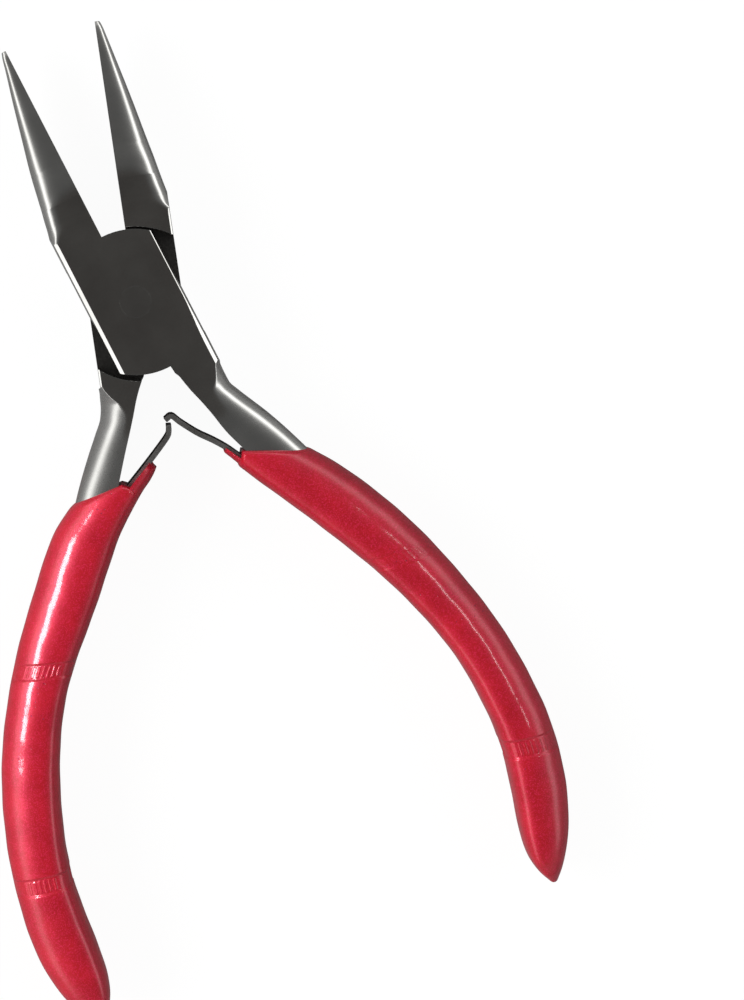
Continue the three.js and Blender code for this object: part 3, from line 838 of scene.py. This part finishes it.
def steel_material(name, dark=1.0):
    m = Nodes(name)
    co = m.attribute("lever_co")
    kind = m.attribute("finish", "Fac")      # 0 ground flat, 1 polished round
    shade = m.attribute("shade", "Fac")      # 1 unshaded, 0 deep in the joint: painted shade over oiled, unpolished steel
    satin = m.attribute("satin", "Fac")      # 1 on the blasted necks
    lines = m.noise(m.scaled(co, (3.0, 60.0, 60.0)), 2.2, 4.0, 0.6)
    cloud = m.noise(m.scaled(co, (1.0, 1.0, 1.0)), 1.7, 4.0, 0.55)
    fine = m.noise(m.scaled(co, (1.0, 1.0, 1.0)), 34.0, 3.0, 0.6)
    tone = m.remap(cloud, 0.3, 0.7, 0.0, 1.0)
    flat_colour = m.mix(tone, (0.40 * dark, 0.376 * dark, 0.352 * dark), (0.51 * dark, 0.485 * dark, 0.455 * dark))
    round_colour = m.mix(tone, (0.54 * dark, 0.535 * dark, 0.52 * dark), (0.66 * dark, 0.655 * dark, 0.64 * dark))
    colour = m.mix(kind, flat_colour, round_colour)
    # painted shade: near-black colour where the joint's slot and tongue lie in shadow, over the oiled, unpolished steel
    # there
    painted_joint_shade = m.mix(fine, (0.03, 0.028, 0.027), (0.11, 0.105, 0.10))
    colour = m.mix(shade, painted_joint_shade, colour)
    m.put(m.bsdf.inputs["Base Color"], colour)
    m.put(m.bsdf.inputs["Metallic"], m.remap(shade, 0, 1, 0.75, 1.0))
    rough = m.math("ADD", m.remap(kind, 0, 1, 0.24, 0.18), m.remap(satin, 0, 1, 0.0, 0.24))
    rough = m.math("ADD", rough, m.remap(fine, 0.35, 0.65, -0.01, 0.015))
    rough = m.math("ADD", rough, m.remap(shade, 0, 1, 0.25, 0.0))
    m.put(m.bsdf.inputs["Roughness"], rough)
    height = m.math("ADD", m.math("MULTIPLY", lines, m.remap(kind, 0, 1, 0.5, 0.12)),
                    m.math("MULTIPLY", fine, m.remap(satin, 0, 1, 0.03, 0.9)))
    m.put(m.bsdf.inputs["Normal"], m.bump(height, 0.2, 0.000010))
    return m.material


def spring_material():
    m = Nodes("blued_strip")
    co = m.attribute("lever_co")
    cloud = m.noise(co, 3.0, 4.0, 0.6)
    fine = m.noise(co, 40.0, 3.0, 0.6)
    colour = m.mix(m.remap(cloud, 0.35, 0.65, 0, 1), (0.26, 0.25, 0.24), (0.42, 0.41, 0.40))
    # the edges of the strip are brighter than its blued faces
    way = m.new("ShaderNodeSeparateXYZ")
    m.put(way.inputs[0], m.new("ShaderNodeNewGeometry").outputs["Normal"])
    edge = m.remap(m.math("ABSOLUTE", way.outputs[2]), 0.80, 0.985, 0.0, 1.0)
    colour = m.mix(edge, (0.035, 0.033, 0.031), colour)
    m.put(m.bsdf.inputs["Base Color"], colour)
    m.bsdf.inputs["Metallic"].default_value = 0.9
    m.put(m.bsdf.inputs["Roughness"], m.remap(fine, 0.3, 0.7, 0.34, 0.5))
    m.put(m.bsdf.inputs["Normal"], m.bump(fine, 0.3, 0.00003))
    return m.material


def vinyl_material():
    m = Nodes("pearl_red_vinyl")
    co = m.attribute("lever_co")
    flake = m.voronoi(co, 95.0)
    split = m.new("ShaderNodeSeparateColor")
    m.put(split.inputs[0], flake.outputs["Color"])
    glint = m.remap(split.outputs[0], 0.55, 1.0, 0.0, 1.0)
    cloud = m.noise(co, 2.2, 3.0, 0.5)
    base = m.mix(m.remap(cloud, 0.35, 0.65, 0, 1), (0.365, 0.0058, 0.0105), (0.45, 0.0085, 0.015))
    colour = m.mix(m.math("MULTIPLY", glint, 0.4), base, (0.80, 0.03, 0.12))
    # a scatter of pinholes
    patch = m.noise(co, 1.1, 2.0, 0.5)
    hole = m.voronoi(co, 17.0)
    hole_split = m.new("ShaderNodeSeparateColor")
    m.put(hole_split.inputs[0], hole.outputs["Color"])
    pick = m.math("MULTIPLY", m.remap(hole_split.outputs[1], 0.62, 0.64, 0, 1), m.remap(patch, 0.54, 0.6, 0, 1))
    pit = m.math("MULTIPLY", m.remap(hole.outputs["Distance"], 0.10, 0.17, 1.0, 0.0), pick)
    colour = m.mix(pit, colour, (0.16, 0.006, 0.03))
    m.put(m.bsdf.inputs["Base Color"], colour)
    m.bsdf.inputs["Metallic"].default_value = 0.22
    m.bsdf.inputs["Roughness"].default_value = 0.40
    m.bsdf.inputs["Specular Tint"].default_value = (1.0, 0.45, 0.75, 1.0)
    m.put(m.bsdf.inputs["Coat Weight"], m.remap(pit, 0, 1, 0.62, 0.1))
    m.bsdf.inputs["Coat Roughness"].default_value = 0.13
    m.bsdf.inputs["Coat IOR"].default_value = 1.55
    # ribs inside the moulded bands
    along, across = m.attribute("along", "Fac"), m.attribute("across", "Fac")
    ribs = m.math("COSINE", m.math("MULTIPLY", m.attribute("arc", "Fac"), 2 * math.pi / 0.67))
    ribs = m.remap(ribs, -0.2, 0.6, 0.0, 1.0)
    window = m.math("MULTIPLY", m.remap(along, 0.62, 0.80, 1.0, 0.0),
                    m.math("MULTIPLY", m.remap(across, 0.14, 0.24, 0.0, 1.0), m.remap(across, 0.72, 0.84, 1.0, 0.0)))
    ribs = m.math("MULTIPLY", m.math("MULTIPLY", ribs, window), m.attribute("deep", "Fac"))
    wave = m.noise(co, 5.0, 2.0, 0.5)
    height = m.math("ADD", m.math("MULTIPLY", wave, 0.6), m.math("MULTIPLY", ribs, 0.75))
    height = m.math("SUBTRACT", height, m.math("MULTIPLY", pit, 0.3))
    bump = m.bump(height, 0.6, 0.00010)
    m.put(m.bsdf.inputs["Normal"], bump)
    m.put(m.bsdf.inputs["Coat Normal"], bump)
    return m.material


def floor_material():
    m = Nodes("pale_floor")
    co = m.new("ShaderNodeTexCoord").outputs["Object"]
    n = m.noise(co, 9.0, 3.0, 0.5)
    m.put(m.bsdf.inputs["Base Color"], m.mix(n, (0.42, 0.42, 0.42), (0.44, 0.44, 0.44)))
    m.bsdf.inputs["Roughness"].default_value = 0.9
    m.bsdf.inputs["Specular IOR Level"].default_value = 0.1
    glow = m.new("ShaderNodeEmission")
    glow.inputs["Color"].default_value = (1, 1, 1, 1)
    glow.inputs["Strength"].default_value = 1.19
    # the camera sees the sheet overexposed, as on a light table
    path = m.new("ShaderNodeLightPath")
    share = m.math("MULTIPLY", path.outputs["Is Camera Ray"], 0.80)
    seen = m.new("ShaderNodeMixShader")
    m.put(seen.inputs[0], share)
    m.tree.links.new(m.bsdf.outputs[0], seen.inputs[1])
    m.tree.links.new(glow.outputs[0], seen.inputs[2])
    out = next(n for n in m.tree.nodes if n.type == "OUTPUT_MATERIAL")
    m.tree.links.new(seen.outputs[0], out.inputs[0])
    return m.material


STEEL = steel_material("ground_steel")
SPRING = spring_material()
VINYL = vinyl_material()

# --------------------------------------------------------------------- pieces

SIDES = {
    1: dict(body="box_half", spring="right_spring", tag="right", jaw=BOX_JAW, neck=BOX_NECK, grip=BOX_GRIP,
            line=BOX_SPRING, lip=BOX_LIP, web=BOX_WEB, bands=[(4.63, 2.1, 0.45), (11.23, 2.4, 1.0)],
            lever="box_lever", hinge=(0.006752, -0.023389)),
    -1: dict(body="tongue_half", spring="left_spring", tag="left", jaw=TONGUE_JAW, neck=TONGUE_NECK, grip=TONGUE_GRIP,
             line=TONGUE_SPRING, lip=TONGUE_LIP, web=TONGUE_WEB, bands=[(5.0, 2.1, 1.0), (11.02, 2.2, 1.0)],
             lever="tongue_lever", hinge=(-0.008023, -0.022681)),
}


def lever_tones(p, n, is_box):
    """finish: 0 on ground flats, 1 on the rounds. shade: 0 deep in the joint, where painted shade darkens the steel, 1
    elsewhere.
    """
    x, y, z = p.T
    flat = smooth(0.985, 0.999, np.abs(n[:, 2])) * smooth(4.2, 4.36, np.abs(z))
    finish = 1 - flat
    r = np.hypot(x, y)
    # the box lever's slot and the thinned tongue get shade 0: painted shade, over oiled, unpolished steel
    if is_box:
        shade = np.where((r < SHOULDER + 0.02) & (np.abs(z) < SLOT + 0.12) & (np.abs(x) < 6.3), 0.0, 1.0)
        shade = np.where((np.abs(z) < SLOT + 0.05) & (r < SHOULDER + 0.05), 0.0, shade)
    else:
        shade = np.where((r < 10.3) & (np.abs(z) < HALF - 0.08), 0.0, 1.0)
        shade = np.where((r > 9.6) & (np.abs(x) > 6.0), 1.0, shade)
        shade = np.where((np.abs(z) < TONGUE + 0.15) & (r < 10.2), 0.0, shade)
    satin = smooth(-8.0, -13.0, y) * finish * (0.12 if is_box else 0.42)
    return {"finish": finish, "shade": shade, "satin": satin}


def build_side(side):
    d = SIDES[side]
    is_box = side > 0
    h = 0.135

    # lever
    field = lever_field(d["jaw"], d["neck"], is_box)
    x_hi = 12.2
    points, quads, normals, corner = carve(field, ((-6.8, -27.4, -4.6), (x_hi, 37.6, 4.6)), (h, h, z_levels()))
    lever = make(d["lever"] + "_ground", points, quads, normals, corner, side, STEEL, lever_tones(points, normals, is_box))
    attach(lever, d["body"])
    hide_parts(d["lever"])

    # grip
    rows = np.array(d["grip"])
    x_lo, x_hi = rows[:, 0].min() - 4.0, rows[:, 2].max() + 2.5
    handle = Handle(d["grip"], (x_lo - 1, x_hi + 1), (-95.5, -19.5))
    gf, marks = grip_field(handle, d["lip"], d["web"], d["line"], d["bands"])
    g = 0.17
    points, quads, normals, corner = carve(gf, ((x_lo, -94.5, -4.7), (x_hi, -20.5, 4.7)), (g, g, g * 1.15))
    grip = make(d["tag"] + "_dipped_grip", points, quads, normals, corner, side, VINYL, marks(points))
    hx, hy = d["hinge"]
    line = spline(d["line"], 0.25)
    line = np.vstack([line, line[-1] + (line[-1] - line[-2]) / np.linalg.norm(line[-1] - line[-2]) * 0.1])
    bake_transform(grip)
    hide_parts(d["tag"] + "_grip", d["tag"] + "_grip_web")

    # leaf spring
    points, quads, normals = strip_mesh(line, STRIP, STRIP_HALF)
    strip = make_mixed(d["tag"] + "_leaf_spring", points, quads, normals, side, SPRING)
    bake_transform(strip)
    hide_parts(d["tag"] + "_spring_tail", d["tag"] + "_spring_blade")
    return lever, grip, strip


for side in (1, -1):
    build_side(side)


def rivet_field(p):
    r = np.hypot(p[:, 0], p[:, 1])
    return np.maximum(r - RIVET - 0.02, np.abs(p[:, 2]) - HALF + 0.003)


zs = np.concatenate([np.arange(-4.5, -4.25, 0.05), np.linspace(-4.2, 4.2, 12), np.arange(4.3, 4.51, 0.05)])
points, quads, normals, corner = carve(rivet_field, ((-2.3, -2.3, -4.5), (2.3, 2.3, 4.5)), (0.09, 0.09, zs))
rivet = make("pivot_rivet_ground", points, quads, normals, corner, 1, STEEL,
             {"finish": np.full(len(points), 0.12), "shade": np.ones(len(points)), "satin": np.zeros(len(points))})
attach(rivet, "box_half")
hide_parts("pivot_rivet")

# rivets of the springs stay as in the frame, inside the grips
for node in ("right_spring_rivet", "left_spring_rivet"):
    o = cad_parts[node]
    o.data.materials.clear()
    o.data.materials.append(SPRING)

# ---------------------------------------------------------------------- stage

def sheet(name, size, z, material):
    n = 24
    xs = np.linspace(-size, size, n)
    verts = [(x, y, z) for x in xs for y in xs]
    faces = [(i * n + j, (i + 1) * n + j, (i + 1) * n + j + 1, i * n + j + 1) for i in range(n - 1) for j in range(n - 1)]
    mesh = bpy.data.meshes.new(name)
    mesh.from_pydata(verts, [], faces)
    mesh.materials.append(material)
    o = bpy.data.objects.new(name, mesh)
    bpy.context.scene.collection.objects.link(o)
    return o


floor = sheet("floor", 3.0, -0.00005, floor_material())

world = bpy.data.worlds.new("studio")
bpy.context.scene.world = world
world.use_nodes = True
wt = world.node_tree
wt.nodes.clear()
TILT = math.radians(17.85)
tc = wt.nodes.new("ShaderNodeTexCoord")
sep = wt.nodes.new("ShaderNodeSeparateXYZ")
wt.links.new(tc.outputs["Generated"], sep.inputs[0])


def sky(stops):
    """Colour over the height of the direction, from the horizon to straight up."""
    ramp = wt.nodes.new("ShaderNodeValToRGB")
    wt.links.new(sep.outputs["Z"], ramp.inputs[0])
    e = ramp.color_ramp.elements
    e[0].position, e[1].position = stops[0][0], stops[-1][0]
    e[0].color = (*(stops[0][1],) * 3, 1)
    e[1].color = (*(stops[-1][1],) * 3, 1)
    for pos, v in stops[1:-1]:
        e.new(pos).color = (v, v, v * 0.985, 1)
    return ramp.outputs[0]


left_sky = sky([(0.0, 0.12), (0.12, 0.135), (0.24, 0.25), (0.34, 0.47), (0.48, 0.55), (0.58, 0.40), (0.65, 0.22),
                (0.70, 0.11), (0.77, 0.065), (0.87, 0.042), (1.0, 0.018)])
right_sky = sky([(0.0, 0.09), (0.12, 0.11), (0.24, 0.25), (0.34, 0.52), (0.48, 0.58), (0.56, 0.40), (0.62, 0.20),
                 (0.70, 0.085), (0.77, 0.055), (0.87, 0.040), (1.0, 0.018)])
other_sky = sky([(0.0, 0.07), (0.15, 0.09), (0.35, 0.15), (0.55, 0.13), (0.70, 0.07), (0.87, 0.040), (1.0, 0.018)])


def toward(angle, low, high):
    """1 for directions near the image angle (degrees from image right), 0 elsewhere."""
    aim = wt.nodes.new("ShaderNodeVectorMath")
    aim.operation = "DOT_PRODUCT"
    a = math.radians(angle) - TILT
    aim.inputs[1].default_value = (math.cos(a), math.sin(a), 0)
    wt.links.new(tc.outputs["Generated"], aim.inputs[0])
    turn = wt.nodes.new("ShaderNodeMapRange")
    turn.interpolation_type = "SMOOTHSTEP"
    turn.inputs["From Min"].default_value = low
    turn.inputs["From Max"].default_value = high
    wt.links.new(aim.outputs["Value"], turn.inputs["Value"])
    return turn.outputs[0]


def over(factor, a, b):
    mix = wt.nodes.new("ShaderNodeMix")
    mix.data_type = "RGBA"
    wt.links.new(factor, mix.inputs["Factor"])
    wt.links.new(a, mix.inputs[6])
    wt.links.new(b, mix.inputs[7])
    return mix.outputs[2]


view = over(toward(182, 0.45, 0.72), other_sky, left_sky)
view = over(toward(30, 0.45, 0.70), view, right_sky)
bg = wt.nodes.new("ShaderNodeBackground")
out = wt.nodes.new("ShaderNodeOutputWorld")
wt.links.new(view, bg.inputs[0])
wt.links.new(bg.outputs[0], out.inputs[0])
bg.inputs[1].default_value = 3.6


def softbox(name, location, target, size, power):
    light = bpy.data.lights.new(name, "AREA")
    light.shape = "RECTANGLE"
    light.size, light.size_y = size
    light.energy = power
    o = bpy.data.objects.new(name, light)
    bpy.context.scene.collection.objects.link(o)
    o.location = location
    o.rotation_euler = (Vector(target) - Vector(location)).to_track_quat("-Z", "Y").to_euler()
    return o


# image right and image up in the row frame
RIGHT = Vector((math.cos(TILT), -math.sin(TILT), 0))
UP = Vector((math.sin(TILT), math.cos(TILT), 0))
CENTRE = Vector((0.0, -0.026, 0.004))


def stand(right, up, height):
    return CENTRE + RIGHT * right + UP * up + Vector((0, 0, height))


# the two highlights along the grips
coated = bpy.data.collections.new("coated")
bpy.context.scene.collection.children.link(coated)
for side in ("right", "left"):
    coated.objects.link(bpy.data.objects[side + "_dipped_grip"])
left_box = softbox("left_box", stand(-0.62, 0.02, 0.62), CENTRE, (0.34, 0.20), 6.2)
left_box.light_linking.receiver_collection = coated
fill_light = softbox("left_fill", stand(-0.90, 0.0, 0.50), CENTRE, (0.70, 0.50), 4.4)
fill_light.visible_glossy = False
right_strip = softbox("right_strip", stand(0.50, 0.12, 0.74), CENTRE, (0.30, 0.03), 0.5)
right_strip.light_linking.receiver_collection = coated

# --------------------------------------------------------------------- camera

cam_data = bpy.data.cameras.new("camera")
cam = bpy.data.objects.new("camera", cam_data)
bpy.context.scene.collection.objects.link(cam)
cam.location = (0.000556, -0.000179, 0.3044)
cam.rotation_euler = (0, 0, -TILT)
cam_data.sensor_width = 36.0
cam_data.lens = 36.0 * 0.300 / 0.1316


def offset(path, value):
    """Lens offset while the camera stands where it is set up; none from farther off."""
    curve = cam_data.driver_add(path)
    driver = curve.driver
    driver.type = "AVERAGE"
    v = driver.variables.new()
    v.type = "LOC_DIFF"
    v.targets[0].id = cam
    v.targets[1].id = origin
    for m in list(curve.modifiers):
        curve.modifiers.remove(m)
    points = curve.keyframe_points
    points.add(4)
    for k, (x, y) in zip(points, ((0.0, value), (0.31, value), (0.33, 0.0), (2.0, 0.0))):
        k.co = (x, y)
        k.interpolation = "LINEAR"
    curve.update()


origin = bpy.data.objects.new("camera_mark", None)
bpy.context.scene.collection.objects.link(origin)
offset("shift_x", 0.232)
offset("shift_y", -0.198)
bpy.context.view_layer.update()
cam_data.clip_start = 0.01
cam_data.clip_end = 20.0
bpy.context.scene.camera = cam
bpy.context.scene.view_settings.view_transform = "Standard"
bpy.context.scene.view_settings.look = "None"
